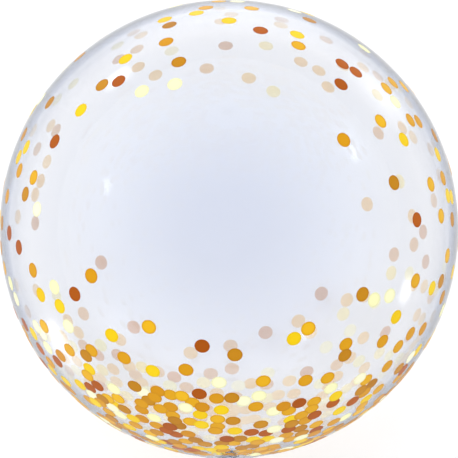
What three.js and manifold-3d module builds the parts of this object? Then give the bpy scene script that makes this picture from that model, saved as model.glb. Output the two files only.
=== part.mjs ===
// A clear bubble balloon, lying on its back on a small flat spot, with its knotted neck pointing along -Y.
// Millimetres, +Z up. The origin is the middle of the flat spot that it rests on.
// One film makes the whole balloon: the globe, the gathered neck, the knot and the tail beyond it.
import * as THREE from "three";
import { mergeVertices } from "three/addons/utils/BufferGeometryUtils.js";
import Module from "manifold-3d";

const wasm = await Module();
wasm.setup();

// Driving dimensions
const globeRadius = 305;
const flatSpotRadius = 55;
const aroundSteps = 72;
const globeRings = 36;

const neckRingRadius = 46; // where the film leaves the globe and starts to gather
const neckRopeRadius = 6.5; // the gathered film just before the knot
const neckLength = 30; // from the globe's own pole to the knot
const neckRings = 9;
const pleatCount = 9;
const pleatDepth = 0.17; // share of the neck's radius, where the pleats are deepest

const knotRadius = 8.5;
const knotStrandRadius = 4;
const knotTurns = { around: 2, through: 3 }; // an overhand knot, which is a trefoil
const knotSteps = 54;
const knotStrandSides = 8;

const tailLength = 62; // from the knot's middle to the mouth of the film
const tailRootWidth = 10;
const tailWidth = 46;
const tailFlareLength = 34;
const tailThickness = 1.6;

// Worked out from them
const globeHeight = Math.sqrt(globeRadius ** 2 - flatSpotRadius ** 2);
const neckStartAngle = Math.asin(neckRingRadius / globeRadius);
const neckStart = -globeRadius * Math.cos(neckStartAngle);
const knotPlace = -(globeRadius + neckLength);

// A closed three.js geometry as a manifold-3d solid.
function solidOf(geometry) {
  const bare = geometry.index ? geometry.toNonIndexed() : geometry.clone();
  for (const name of ["normal", "uv"]) bare.deleteAttribute(name);
  const merged = mergeVertices(bare, 1e-3);
  return new wasm.Manifold(
    new wasm.Mesh({
      numProp: 3,
      vertProperties: merged.attributes.position.array,
      triVerts: new Uint32Array(merged.index.array),
    }),
  );
}

// A manifold-3d solid as a three.js geometry.
function geometryOf(solid) {
  const mesh = solid.getMesh();
  return new THREE.BufferGeometry()
    .setAttribute("position", new THREE.BufferAttribute(mesh.vertProperties, 3))
    .setIndex(new THREE.BufferAttribute(mesh.triVerts, 1));
}

// The outline that is turned round the Y axis: up the gathered neck from the knot, then over the globe to its crown.
function balloonOutline() {
  const towardsGlobe = new THREE.Vector2(Math.sin(neckStartAngle), -Math.cos(neckStartAngle));
  const ringPoint = towardsGlobe.clone().multiplyScalar(globeRadius);
  const knotPoint = new THREE.Vector2(neckRopeRadius, knotPlace);
  const alongGlobe = new THREE.Vector2(-towardsGlobe.y, towardsGlobe.x).normalize();
  const funnel = new THREE.CubicBezierCurve(
    knotPoint,
    knotPoint.clone().add(new THREE.Vector2(0, neckLength * 0.8)),
    ringPoint.clone().addScaledVector(alongGlobe, -neckRingRadius * 0.55),
    ringPoint,
  );
  const outline = [new THREE.Vector2(0, knotPlace), ...funnel.getPoints(neckRings)];
  const sweep = Math.PI - neckStartAngle;
  for (let ring = 1; ring < globeRings; ring += 1) {
    const angle = neckStartAngle + (sweep * ring) / globeRings;
    outline.push(new THREE.Vector2(globeRadius * Math.sin(angle), -globeRadius * Math.cos(angle)));
  }
  outline.push(new THREE.Vector2(0, globeRadius));
  return outline;
}

// Folds the neck's film into pleats that deepen from nothing on the globe towards the knot.
function pleatNeck(geometry) {
  const position = geometry.attributes.position;
  for (let i = 0; i < position.count; i += 1) {
    const [x, y, z] = [position.getX(i), position.getY(i), position.getZ(i)];
    const share = THREE.MathUtils.smoothstep(neckStart - y, 0, neckStart - knotPlace);
    const round = Math.cos(pleatCount * Math.atan2(z, x));
    const scale = 1 + pleatDepth * share * round;
    position.setXYZ(i, x * scale, y, z * scale);
  }
  return geometry;
}

function globeWithNeck() {
  const turned = new THREE.LatheGeometry(balloonOutline(), aroundSteps);
  return solidOf(pleatNeck(turned));
}

function knot() {
  const strand = new THREE.TorusKnotGeometry(
    knotRadius,
    knotStrandRadius,
    knotSteps,
    knotStrandSides,
    knotTurns.around,
    knotTurns.through,
  );
  strand.rotateX(Math.PI / 2);
  strand.translate(0, knotPlace, 0);
  return solidOf(strand);
}

// The flat film beyond the knot, which flares from the strand to the width of the flattened neck.
function tail() {
  const [root, half] = [tailRootWidth / 2, tailWidth / 2];
  const outline = new THREE.Shape();
  outline.moveTo(-root, 0);
  outline.lineTo(root, 0);
  outline.bezierCurveTo(root, -tailFlareLength / 2, half, -tailFlareLength / 2, half, -tailFlareLength);
  outline.lineTo(half, -tailLength);
  outline.lineTo(-half, -tailLength);
  outline.lineTo(-half, -tailFlareLength);
  outline.bezierCurveTo(-half, -tailFlareLength / 2, -root, -tailFlareLength / 2, -root, 0);
  const sheet = new THREE.ExtrudeGeometry(outline, {
    depth: tailThickness,
    bevelEnabled: false,
    curveSegments: 8,
  });
  sheet.translate(0, knotPlace, -tailThickness / 2);
  return solidOf(sheet);
}

// What lies below the floor, where the globe is pressed flat.
function belowFloor() {
  const block = new THREE.BoxGeometry(2 * globeRadius, 2 * globeRadius, globeRadius);
  block.translate(0, 0, -globeHeight - globeRadius / 2);
  return solidOf(block);
}

function balloonFilm() {
  const film = globeWithNeck().add(knot()).add(tail()).subtract(belowFloor());
  const clearFilm = new THREE.MeshStandardMaterial({
    color: new THREE.Color(0.86, 0.89, 0.96),
    roughness: 0.08,
    metalness: 0,
    transparent: true,
    opacity: 0.3,
  });
  const mesh = new THREE.Mesh(geometryOf(film), clearFilm);
  mesh.name = "balloon_film";
  mesh.position.z = globeHeight;
  return mesh;
}

const balloon = new THREE.Group();
balloon.add(balloonFilm());

export default balloon;
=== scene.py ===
# The looks of a clear bubble balloon with gold confetti dots, which lies on its back on a pale floor.
import random
from math import asin, atan2, cos, log, pi, radians, sin, sqrt, tan

import bpy
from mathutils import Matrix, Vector, noise


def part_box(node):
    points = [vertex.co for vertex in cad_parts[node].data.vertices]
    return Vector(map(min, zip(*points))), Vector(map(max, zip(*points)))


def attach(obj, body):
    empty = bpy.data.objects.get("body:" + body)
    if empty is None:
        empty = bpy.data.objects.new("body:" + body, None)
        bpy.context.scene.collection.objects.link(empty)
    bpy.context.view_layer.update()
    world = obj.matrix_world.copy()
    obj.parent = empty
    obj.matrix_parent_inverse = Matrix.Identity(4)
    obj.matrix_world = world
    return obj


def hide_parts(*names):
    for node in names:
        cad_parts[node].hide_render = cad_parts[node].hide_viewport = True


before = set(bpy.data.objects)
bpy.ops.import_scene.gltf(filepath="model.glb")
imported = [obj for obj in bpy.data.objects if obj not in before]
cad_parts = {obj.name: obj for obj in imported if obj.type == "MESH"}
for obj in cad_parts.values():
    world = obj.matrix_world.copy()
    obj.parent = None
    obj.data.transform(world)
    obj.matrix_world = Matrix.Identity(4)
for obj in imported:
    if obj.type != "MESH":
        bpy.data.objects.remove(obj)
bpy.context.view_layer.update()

# The globe, read from the frame: its axis is Y, with the crown at +Y and the knotted neck at -Y
filmLow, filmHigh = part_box("balloon_film")
globeRadius = filmHigh.y
globeCentre = Vector((0, 0, filmHigh.z - globeRadius))
tailEnd = filmLow.y
neckWay = Vector((0, -1, 0))


# Modelling

def pick(piece):  # makes this piece the only one selected, and the active one
    bpy.ops.object.select_all(action="DESELECT")
    piece.select_set(True)
    bpy.context.view_layer.objects.active = piece


def startEdit(piece, mode="VERT"):
    pick(piece)
    bpy.ops.object.mode_set(mode="EDIT")
    bpy.ops.mesh.select_mode(type=mode)
    bpy.ops.mesh.select_all(action="DESELECT")


def endEdit():
    bpy.ops.object.mode_set(mode="OBJECT")


def setPlace(piece):  # puts the object's place and turn into its mesh
    pick(piece)
    bpy.ops.object.transform_apply(location=True, rotation=True, scale=True)


def applyModifier(piece, kind, **settings):
    modifier = piece.modifiers.new(kind.title(), kind)
    for name, value in settings.items():
        setattr(modifier, name, value)
    pick(piece)
    bpy.ops.object.modifier_apply(modifier=modifier.name)


def smooth(piece):
    pick(piece)
    bpy.ops.object.shade_smooth()


def joinPieces(name, pieces):
    pick(pieces[0])
    for piece in pieces:
        piece.select_set(True)
    bpy.ops.object.join()
    joined = bpy.context.object
    joined.name = name
    joined.data.name = name
    return joined


def fade(low, high, value):  # 0 up to low and 1 from high, with a soft start and end
    share = min(max((value - low) / (high - low), 0), 1)
    return share * share * (3 - 2 * share)


# Shader maths

class Wire:  # an output socket that can stand in a sum
    def __init__(self, finish, socket):
        self.finish = finish
        self.socket = socket

    def sum(self, operation, first, second):
        return self.finish.node("ShaderNodeMath", {"operation": operation}, {0: first, 1: second})

    def __add__(self, other):
        return self.sum("ADD", self, other)

    def __radd__(self, other):
        return self.sum("ADD", other, self)

    def __sub__(self, other):
        return self.sum("SUBTRACT", self, other)

    def __rsub__(self, other):
        return self.sum("SUBTRACT", other, self)

    def __mul__(self, other):
        return self.sum("MULTIPLY", self, other)

    def __rmul__(self, other):
        return self.sum("MULTIPLY", other, self)


class Finish:  # a material or a world, and the nodes that are added to it
    def __init__(self, owner):
        self.owner = owner
        owner.use_nodes = True
        self.tree = owner.node_tree
        self.tree.nodes.clear()

    def node(self, kind, settings=None, inputs=None, output=0):
        made = self.tree.nodes.new(kind)
        for name, value in (settings or {}).items():
            if name == "stops":
                ramp = made.color_ramp
                while len(ramp.elements) < len(value):
                    ramp.elements.new(1)
                for stop, (place, colour) in zip(ramp.elements, value):
                    stop.position = place
                    stop.color = colour
            else:
                setattr(made, name, value)
        for name, value in (inputs or {}).items():
            if isinstance(value, Wire):
                self.tree.links.new(value.socket, made.inputs[name])
            else:
                made.inputs[name].default_value = value
        return Wire(self, made.outputs[output]) if made.outputs else None

    def mixColours(self, first, second, share):
        return self.node("ShaderNodeMix", {"data_type": "RGBA"}, {0: share, 6: first, 7: second}, 2)

    def ramp(self, value, stops):
        return self.node("ShaderNodeValToRGB", {"stops": stops}, {0: value})

    def noise(self, scale, detail=2.0):
        place = self.node("ShaderNodeTexCoord", output="Object")
        return self.node("ShaderNodeTexNoise", None, {"Vector": place, "Scale": scale, "Detail": detail})

    def bump(self, height, strength, distance):
        inputs = {"Height": height, "Strength": strength, "Distance": distance}
        return self.node("ShaderNodeBump", None, inputs)

    def principled(self, inputs):
        shader = self.node("ShaderNodeBsdfPrincipled", None, inputs)
        self.node("ShaderNodeOutputMaterial", None, {"Surface": shader})
        return self.owner


def newFinish(name):
    return Finish(bpy.data.materials.new(name))


# Camera: straight above the printed front, with the crown at the top of the picture

camera = {
    "distance": 7.0,
    "globeFills": 1.002,  # the globe's width, as a share of the picture's
}


def addCamera():
    lens = bpy.data.cameras.new("camera")
    seat = bpy.data.objects.new("camera", lens)
    bpy.context.scene.collection.objects.link(seat)
    bpy.context.scene.camera = seat
    seat.location = globeCentre + Vector((0, 0, camera["distance"]))
    halfView = tan(asin(globeRadius / camera["distance"])) / camera["globeFills"]
    lens.lens = lens.sensor_width / 2 / halfView
    lens.clip_end = 60


# Film: the globe and its gathered neck

film = {
    "wall": 0.0005,
    "around": 192,
    "rings": 96,
    "neckRing": 0.046,  # radius where the film leaves the globe
    "rope": 0.0065,  # radius of the gathered film at the knot
    "ringPull": 0.55,  # how far the neck runs on in the globe's own line, in ring radii
    "ropePull": 0.8,  # how far the rope runs straight, as a share of the neck
    "tailLength": 0.062,  # from the knot's middle to the mouth
    "neckSteps": 14,
    "pleats": 9,
    "pleatDepth": 0.17,
    "creases": 31,
    "creaseDepth": 0.035,
    "gathers": 19,
    "gatherSway": 1.6,  # how unevenly they are spaced
    "gatherDepth": 0.0013,
    "gatherEnds": (radians(8.7), radians(30)),  # from the neck's ring to where they have run out
    "spotEdge": 0.0006,  # how softly the film turns up from the flat spot
}
knotPlace = tailEnd + film["tailLength"]
neckStart = -sqrt(globeRadius ** 2 - film["neckRing"] ** 2)


def funnelPoint(share):  # radius and y of the neck, from the globe at 0 to the knot at 1
    lean = asin(film["neckRing"] / globeRadius)
    pull = film["ringPull"] * film["neckRing"]
    points = [
        (film["neckRing"], neckStart),
        (film["neckRing"] - pull * cos(lean), neckStart - pull * sin(lean)),
        (film["rope"], knotPlace + film["ropePull"] * (-globeRadius - knotPlace)),
        (film["rope"], knotPlace),
    ]
    rest = 1 - share
    weights = [rest ** 3, 3 * rest ** 2 * share, 3 * rest * share ** 2, share ** 3]
    return [sum(weight * point[i] for weight, point in zip(weights, points)) for i in (0, 1)]


def addGlobe():
    bpy.ops.mesh.primitive_uv_sphere_add(
        segments=film["around"], ring_count=film["rings"], radius=globeRadius,
        location=globeCentre, rotation=(pi / 2, 0, 0),
    )
    globe = bpy.context.object
    globe.name = "film"
    setPlace(globe)

    # the neck: the pole is cut off, and the open ring is drawn out step by step
    startEdit(globe)
    bpy.ops.mesh.select_all(action="SELECT")
    bpy.ops.mesh.bisect(plane_co=(0, neckStart, 0), plane_no=(0, -1, 0), clear_outer=True)
    oldRadius, oldPlace = film["neckRing"], neckStart
    for step in range(1, film["neckSteps"] + 1):
        radius, place = funnelPoint(step / film["neckSteps"])
        bpy.ops.mesh.extrude_region_move(TRANSFORM_OT_translate={"value": (0, place - oldPlace, 0)})
        narrower = radius / oldRadius
        bpy.ops.transform.resize(value=(narrower, 1, narrower), center_override=globeCentre)
        oldRadius, oldPlace = radius, place
    bpy.ops.mesh.extrude_region_move()
    bpy.ops.mesh.merge(type="CENTER")

    bpy.ops.mesh.select_all(action="SELECT")
    bpy.ops.mesh.normals_make_consistent(inside=False)
    endEdit()
    restGlobe(globe)
    foldNeck(globe)
    return globe


def restGlobe(globe):  # presses the small flat spot that it lies on, with a soft edge
    for vertex in globe.data.vertices:
        height = vertex.co.z
        vertex.co.z = (height + sqrt(height ** 2 + film["spotEdge"] ** 2)) / 2


def gatherSink(spoke):  # how far the gathers sink the film, at a place seen from the globe's middle
    share = 1 - fade(film["gatherEnds"][0], film["gatherEnds"][1], spoke.angle(neckWay))
    angle = atan2(spoke.z, spoke.x)
    wave = 0.5 + 0.5 * cos(film["gathers"] * angle + film["gatherSway"] * sin(5 * angle))
    narrowing = min(1, sqrt(spoke.x ** 2 + spoke.z ** 2) / film["neckRing"])
    return film["gatherDepth"] * share * wave * narrowing


def foldNeck(globe):  # gathers over the globe, and pleats and creases that deepen towards the knot
    for vertex in globe.data.vertices:
        spoke = vertex.co - globeCentre
        angle = atan2(spoke.z, spoke.x)
        vertex.co -= spoke.normalized() * gatherSink(spoke)
        if spoke.y < neckStart:
            share = fade(0, neckStart - knotPlace, neckStart - spoke.y)
            pleats = film["pleatDepth"] * share * cos(film["pleats"] * angle)
            ripple = cos(film["creases"] * angle + 2 * sin(3 * angle))
            creases = film["creaseDepth"] * fade(0, 0.4, share) * ripple
            vertex.co.x += spoke.x * (pleats + creases)
            vertex.co.z += spoke.z * (pleats + creases)


def sweepTube(name, path, sides, reach):  # a closed loop; reach(share, angle) is the wall's distance
    count = len(path)
    ways = [(path[(i + 1) % count] - path[i - 1]).normalized() for i in range(count)]
    across = ways[0].orthogonal().normalized()
    frames = []
    for way in ways + [ways[0]]:
        across = (across - way * across.dot(way)).normalized()
        frames.append((across, way.cross(across)))
    twist = atan2(frames[-1][0].dot(frames[0][1]), frames[-1][0].dot(frames[0][0]))
    points = []
    for i in range(count):
        for j in range(sides):
            angle = 2 * pi * j / sides
            turned = angle - twist * i / count
            out = frames[i][0] * cos(turned) + frames[i][1] * sin(turned)
            points.append(path[i] + out * reach(i / count, angle))
    faces = []
    for i in range(count):
        for j in range(sides):
            here, ahead = i * sides, (i + 1) % count * sides
            beside = (j + 1) % sides
            faces.append((here + j, here + beside, ahead + beside, ahead + j))
    mesh = bpy.data.meshes.new(name)
    mesh.from_pydata(points, [], faces)
    tube = bpy.data.objects.new(name, mesh)
    bpy.context.scene.collection.objects.link(tube)
    startEdit(tube)
    bpy.ops.mesh.select_all(action="SELECT")
    bpy.ops.mesh.normals_make_consistent(inside=False)
    endEdit()
    return tube


# Film: the knot, a strand of twisted film tied over itself

knot = {
    "radius": 0.0085,
    "strand": 0.004,
    "around": 2,
    "through": 3,
    "steps": 150,
    "sides": 40,
    "creases": 7,
    "fineCreases": 17,
    "creaseDepth": 0.13,
}


def addKnot():
    middle = globeCentre + Vector((0, knotPlace, 0))
    path = []
    for step in range(knot["steps"]):
        turn = 2 * pi * knot["around"] * step / knot["steps"]
        weave = turn * knot["through"] / knot["around"]
        wide = knot["radius"] * (2 + cos(weave)) / 2
        rise = -knot["radius"] * sin(weave) / 2
        path.append(middle + Vector((wide * cos(turn), rise, wide * sin(turn))))

    def reach(share, angle):
        along = 2 * pi * share
        creases = cos(knot["creases"] * angle + 3 * sin(2 * along) + 5 * along)
        finer = 0.5 * cos(knot["fineCreases"] * angle - 4 * sin(3 * along))
        return knot["strand"] * (1 + knot["creaseDepth"] * (creases + finer) / 1.5)

    return sweepTube("knot", path, knot["sides"], reach)


# Film: the tail, the flattened neck beyond the knot, with its two plies and its open mouth

tail = {
    "rootHalf": 0.005,
    "mouthHalf": 0.023,
    "flare": 0.034,
    "rings": 40,
    "sides": 88,
    "rootGap": 0.0022,
    "mouthGap": 0.0012,
    "folds": 5,
    "foldDepth": 0.0011,
    "rippleDepth": 0.0009,
    "wall": 0.0003,
}


def addTail():
    points, faces = [], []
    for ring in range(tail["rings"]):
        along = film["tailLength"] * ring / (tail["rings"] - 1)
        spread = fade(0, tail["flare"], along)
        half = tail["rootHalf"] + (tail["mouthHalf"] - tail["rootHalf"]) * spread
        opening = 0.35 + 0.65 * fade(0.7, 1, along / film["tailLength"])
        gap = tail["rootGap"] * (1 - spread) + tail["mouthGap"] * opening
        for side in range(tail["sides"]):
            angle = 2 * pi * side / tail["sides"]
            across = cos(angle)
            ply = 5 + (sin(angle) > 0)  # each ply ripples in its own way
            fold = tail["foldDepth"] * cos(tail["folds"] * pi * across + 0.7) * (1 - 0.75 * spread)
            unevenness = noise.noise(Vector((2.2 * across, 30 * along, ply)))
            ripple = tail["rippleDepth"] * spread * unevenness
            rise = gap * sin(angle) + (fold + ripple) * (1 - across ** 4)
            points.append(globeCentre + Vector((half * across, knotPlace - along, rise)))
    for ring in range(tail["rings"] - 1):
        for side in range(tail["sides"]):
            here, ahead = ring * tail["sides"], (ring + 1) * tail["sides"]
            beside = (side + 1) % tail["sides"]
            faces.append((here + side, here + beside, ahead + beside, ahead + side))
    faces.append(tuple(range(tail["sides"])))  # the root is drawn shut in the knot
    mesh = bpy.data.meshes.new("tail")
    mesh.from_pydata(points, [], faces)
    flat = bpy.data.objects.new("tail", mesh)
    bpy.context.scene.collection.objects.link(flat)
    startEdit(flat)
    bpy.ops.mesh.select_all(action="SELECT")
    bpy.ops.mesh.normals_make_consistent(inside=False)
    endEdit()
    applyModifier(flat, "SOLIDIFY", thickness=tail["wall"], offset=-1)
    return flat


def clearFilm():
    finish = newFinish("clear film")
    facing = finish.node("ShaderNodeLayerWeight", None, {"Blend": 0.5}, 1)
    tintAndRimShade = finish.ramp(facing, [  # bluest face on; where the film turns away at the rim it darkens to a grey-blue band, painted shade standing in for the dark reflections there
        (0.0, (0.806, 0.838, 0.914, 1)),
        (0.13, (0.846, 0.868, 0.912, 1)),
        (0.30, (0.880, 0.888, 0.906, 1)),
        (0.50, (0.890, 0.892, 0.902, 1)),
        (0.60, (0.808, 0.816, 0.842, 1)),
        (0.67, (0.700, 0.718, 0.765, 1)),
        (0.705, (0.690, 0.710, 0.765, 1)),
        (0.735, (0.510, 0.545, 0.640, 1)),
        (0.80, (0.260, 0.300, 0.400, 1)),
        (0.88, (0.020, 0.030, 0.060, 1)),
    ])
    return finish.principled({
        "Base Color": tintAndRimShade, "Roughness": 0.02, "IOR": 1.45, "Transmission Weight": 1.0,
    })


def gatheredFilm():
    finish = newFinish("gathered film")
    milky = finish.mixColours((0.90, 0.925, 0.965, 1), (0.98, 0.985, 0.99, 1), finish.noise(90, 4))
    return finish.principled({
        "Base Color": milky, "Roughness": 0.2, "IOR": 1.25, "Transmission Weight": 1.0,
        "Normal": finish.bump(finish.noise(400, 3), 0.15, 0.0004),
    })


def dressFilm():
    globe = addGlobe()
    applyModifier(globe, "SOLIDIFY", thickness=film["wall"], offset=-1)
    globe.data.materials.append(clearFilm())
    gathered = gatheredFilm()
    tied = [addKnot(), addTail()]
    for piece in tied:
        piece.data.materials.append(gathered)
    whole = joinPieces("bubble_film", [globe] + tied)
    smooth(whole)
    whole.visible_shadow = False  # the clear film lets the light through
    whole.visible_diffuse = False
    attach(whole, "root")
    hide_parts("balloon_film")
    return whole


# Confetti dots: ink printed on the film, in five colours

confetti = {
    "radius": 0.010,
    "sides": 24,
    "inkDepth": 0.00008,
    "inkLift": 0.00002,  # how far the ink's underside is from the film
    "layerLift": 0.00001,
    "gap": 1.15,  # the least distance between two dots' middles, in radii
    "crossings": 0.1,  # share of the dots that may overlap another where few are printed
    "seed": 16,
    "windowTilt": radians(5),  # the clear windows at the front and the back look up a little
    "fringe": (radians(29), radians(36), 0.25),  # where the first few dots are, from the window's middle
    "full": (radians(44), radians(54), 0.75),
    "sideCover": 0.14,  # shares of the film that the ink covers
    "topCover": 0.09,
    "bottomCover": 0.68,
    "topEdge": (radians(20), radians(60)),  # latitudes
    "bottomEdge": (radians(8), radians(58)),
    "neckClear": radians(11.5),
    "crowding": 1.15,  # makes up for the dots that are left out because they lie too near another
}
inks = {  # the two ends of each ink's tints, from outside and as its underside shows through the film
    "yellow": {
        "share": 0.18,
        "tints": [(0.82, 0.53, 0.0, 1), (0.86, 0.61, 0.008, 1)],
        "inside": [(0.97, 0.84, 0.48, 1), (0.98, 0.90, 0.60, 1)],
    },
    "amber": {
        "share": 0.41,
        "tints": [(0.60, 0.25, 0.003, 1), (0.81, 0.46, 0.012, 1)],
        "inside": [(0.90, 0.68, 0.43, 1), (0.95, 0.76, 0.50, 1)],
    },
    "ochre": {
        "share": 0.17,
        "tints": [(0.44, 0.175, 0.003, 1), (0.58, 0.26, 0.010, 1)],
        "inside": [(0.77, 0.56, 0.42, 1), (0.87, 0.66, 0.46, 1)],
    },
    "copper": {
        "share": 0.09,
        "tints": [(0.36, 0.076, 0.001, 1), (0.46, 0.105, 0.002, 1)],
        "inside": [(0.72, 0.51, 0.39, 1), (0.83, 0.57, 0.42, 1)],
    },
    "cream": {
        "share": 0.15,
        "tints": [(0.89, 0.875, 0.44, 1), (0.90, 0.885, 0.68, 1)],
        "inside": [(0.95, 0.91, 0.60, 1), (0.96, 0.93, 0.74, 1)],
    },
}


def coverAt(way):  # the share of the film that ink covers, in a direction from the globe's middle
    middle = Vector((0, sin(confetti["windowTilt"]), cos(confetti["windowTilt"])))
    fromWindow = Vector((way.x, way.y, abs(way.z))).angle(middle)
    latitude = asin(way.y)
    cover = confetti["sideCover"]
    cover += (confetti["bottomCover"] - confetti["sideCover"]) * fade(*confetti["bottomEdge"], -latitude)
    cover += (confetti["topCover"] - confetti["sideCover"]) * fade(*confetti["topEdge"], latitude)
    edges = (confetti["fringe"], confetti["full"])
    return cover * sum(part * fade(start, end, fromWindow) for start, end, part in edges)


def scatter():  # each dot's direction, and the layer that it is printed in, over the dots it overlaps
    chance = random.Random(confetti["seed"])
    radius = confetti["radius"]
    most = -log(1 - confetti["bottomCover"])
    dots = []
    for _ in range(int(confetti["crowding"] * most * 4 * (globeRadius / radius) ** 2)):
        way = Vector((chance.gauss(0, 1), chance.gauss(0, 1), chance.gauss(0, 1))).normalized()
        wanted, crossing = chance.random(), chance.random()
        cover = coverAt(way)
        if way.angle(neckWay) < confetti["neckClear"] or wanted > -log(1 - cover) / most:
            continue
        gap = confetti["gap"] * radius
        if crossing > confetti["crossings"]:  # most dots that stand alone keep clear of each other
            gap += radius * (1 - cover / confetti["bottomCover"])
        apart = [((other - way).length * globeRadius, layer) for other, layer in dots]
        if min(apart, default=(gap, 0))[0] < gap:
            continue
        below = [layer for distance, layer in apart if distance < 2 * radius]
        dots.append((way, 1 + max(below, default=-1)))
    return dots


def modelDot():  # one disc of ink, a unit wide and deep, with its face up
    bpy.ops.mesh.primitive_circle_add(vertices=confetti["sides"], radius=1, fill_type="TRIFAN")
    disc = bpy.context.object
    startEdit(disc, "FACE")
    bpy.ops.mesh.select_all(action="SELECT")
    bpy.ops.mesh.extrude_region_move(TRANSFORM_OT_translate={"value": (0, 0, 1)})
    bpy.ops.mesh.select_all(action="SELECT")
    bpy.ops.mesh.normals_make_consistent(inside=False)
    endEdit()
    for face in disc.data.polygons:
        face.material_index = 1 if face.normal.z < -0.5 else 0
    rim = disc.data.attributes.new("rim", "FLOAT", "POINT")
    for vertex, value in zip(disc.data.vertices, rim.data):
        value.value = min(1, vertex.co.xy.length)
    return disc


def layDot(disc, way, layer, turn, tone):  # a copy of the disc, bent over the globe
    mesh = disc.data.copy()
    across = way.orthogonal().normalized()
    up = way.cross(across)
    for vertex in mesh.vertices:
        x, y, top = vertex.co
        x, y = x * cos(turn) - y * sin(turn), x * sin(turn) + y * cos(turn)
        out = way * globeRadius + (across * x + up * y) * confetti["radius"]
        if top > 0.5:
            height = (layer + 1) * confetti["inkDepth"]
        else:
            height = confetti["inkLift"] + layer * confetti["layerLift"]
        vertex.co = globeCentre + out.normalized() * (globeRadius + height - gatherSink(out))
    shade = mesh.attributes.new("tone", "FLOAT", "POINT")
    for value in shade.data:
        value.value = tone
    dot = bpy.data.objects.new("dot", mesh)
    bpy.context.scene.collection.objects.link(dot)
    return dot


def inkFace(name, tints):
    finish = newFinish(name + " ink")
    tone = finish.node("ShaderNodeAttribute", {"attribute_name": "tone"}, None, 2)
    rim = finish.node("ShaderNodeAttribute", {"attribute_name": "rim"}, None, 2)
    colour = finish.mixColours(tints[0], tints[1], tone)
    darker = tuple(0.8 * part for part in tints[0][:3]) + (1,)
    edge = finish.ramp(rim, [(0.7, (0, 0, 0, 1)), (0.95, (1, 1, 1, 1))])
    colour = finish.mixColours(colour, darker, edge * 0.5)
    return finish.principled({"Base Color": colour, "Roughness": 0.35, "Specular IOR Level": 0.08})


def inkBack(name, tints):
    finish = newFinish(name + " ink from inside")
    tone = finish.node("ShaderNodeAttribute", {"attribute_name": "tone"}, None, 2)
    return finish.principled({"Base Color": finish.mixColours(tints[0], tints[1], tone), "Roughness": 0.6})


def dressDots():
    dots = scatter()
    print("confetti dots:", len(dots))
    chance = random.Random(confetti["seed"] + 1)
    disc = modelDot()
    laid = {name: [] for name in inks}
    for way, layer in dots:
        name = chance.choices(list(inks), [ink["share"] for ink in inks.values()])[0]
        laid[name].append(layDot(disc, way, layer, chance.uniform(0, 2 * pi), chance.random()))
    bpy.data.objects.remove(disc)
    for name, pieces in laid.items():
        finishes = [inkFace(name, inks[name]["tints"]), inkBack(name, inks[name]["inside"])]
        for piece in pieces:
            for finish in finishes:
                piece.data.materials.append(finish)
        printed = joinPieces(name + "_dots", pieces)
        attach(printed, "root")
        name + "_ink"


# Floor, light and world

studio = {
    "floorSize": 12,
    "floorDrop": 0.0006,
    "room": [  # what the film mirrors, from the horizon up to the ceiling
        (0.0, (1.22, 1.22, 1.22, 1)),
        (0.35, (1.32, 1.32, 1.33, 1)),
        (0.6, (1.15, 1.15, 1.17, 1)),
        (0.95, (0.73, 0.74, 0.77, 1)),
    ],
    "keyPlace": (-0.9, 1.1, 3.2),
    "keySize": 2.6,
    "keyWatts": 25,
    "panelPeak": 1.4,  # how much brighter a panel's middle is
}


def addFloor():
    bpy.ops.mesh.primitive_plane_add(size=studio["floorSize"], location=(0, 0, -studio["floorDrop"]))
    floor = bpy.context.object
    floor.name = "floor"
    setPlace(floor)
    finish = newFinish("pale floor")
    shade = finish.mixColours((0.945, 0.955, 0.97, 1), (0.96, 0.97, 0.985, 1), finish.noise(3, 3))
    floor.data.materials.append(finish.principled({
        "Base Color": shade, "Roughness": 0.9, "Specular IOR Level": 0.1,
    }))


def addWorld():
    world = bpy.data.worlds.new("studio")
    bpy.context.scene.world = world
    finish = Finish(world)
    way = finish.node("ShaderNodeTexCoord", None, None, "Generated")
    height = finish.node("ShaderNodeSeparateXYZ", None, {"Vector": way}, "Z")
    glow = finish.ramp(height, studio["room"])
    back = finish.node("ShaderNodeBackground", None, {"Color": glow, "Strength": 1.0})
    finish.node("ShaderNodeOutputWorld", None, {"Surface": back})


def addLamp(name, place, aim, size, watts):
    light = bpy.data.lights.new(name, "AREA")
    light.shape = "RECTANGLE"
    light.size, light.size_y = size
    light.energy = watts
    lamp = bpy.data.objects.new(name, light)
    bpy.context.scene.collection.objects.link(lamp)
    lamp.location = place
    lamp.rotation_euler = (Vector(aim) - lamp.location).to_track_quat("-Z", "Y").to_euler()
    lamp.visible_camera = False
    return lamp


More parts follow.
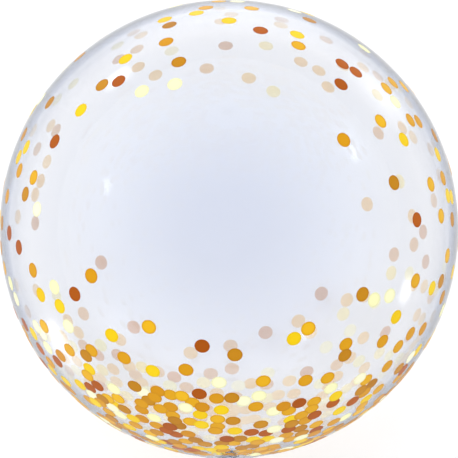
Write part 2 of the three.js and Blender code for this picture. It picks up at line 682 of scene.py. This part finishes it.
# Low soft panels round the balloon, whose reflections are the pale patches near its rim
panels = {
    "crown": {"round": 88, "out": 0.47, "height": 0.21, "size": (0.9, 0.42), "watts": 0.6},
    "right": {"round": 42, "out": 0.66, "height": 0.20, "size": (0.36, 0.40), "watts": 0.35},
    "left": {"round": 215, "out": 0.66, "height": 0.18, "size": (0.3, 0.36), "watts": 0.3},
    "crownGlint": {"round": 126.5, "out": 0.66, "height": 0.35, "size": (0.15, 0.15), "watts": 0.22},
    "leftGlint": {"round": 212, "out": 0.66, "height": 0.21, "size": (0.14, 0.14), "watts": 0.16},
    "rightGlint": {"round": 341, "out": 0.66, "height": 0.35, "size": (0.14, 0.14), "watts": 0.16},
}


def soften(light):  # fades a panel out towards its edges
    finish = Finish(light)
    place = finish.node("ShaderNodeNewGeometry", None, None, "Parametric")
    apart = finish.node("ShaderNodeVectorMath", {"operation": "SUBTRACT"}, {0: place, 1: (0.5, 0.5, 0)})
    across = finish.node("ShaderNodeSeparateXYZ", None, {0: apart}, 0)
    upward = finish.node("ShaderNodeSeparateXYZ", None, {0: apart}, 1)
    strength = (1 - 4 * across * across) * (1 - 4 * upward * upward)
    glow = finish.node("ShaderNodeEmission", None, {"Strength": strength * strength * studio["panelPeak"]})
    finish.node("ShaderNodeOutputLight", None, {"Surface": glow})


def addLights():
    size = (studio["keySize"], studio["keySize"])
    key = addLamp("key", studio["keyPlace"], globeCentre, size, studio["keyWatts"])
    key.visible_glossy = False  # it lights the floor and the ink, and the film mirrors the rest
    key.visible_transmission = False
    for name, panel in panels.items():
        way = Vector((cos(radians(panel["round"])), sin(radians(panel["round"])), 0))
        place = way * panel["out"] + Vector((0, 0, panel["height"]))
        lamp = addLamp(name, place, globeCentre + way * globeRadius * 0.8, panel["size"], panel["watts"])
        lamp.visible_diffuse = False
        soften(lamp.data)


print("film")
dressFilm()
print("dots")
dressDots()
print("studio")
addFloor()
addWorld()
addLights()
addCamera()
bpy.context.scene.view_settings.view_transform = "Standard"

print("done")
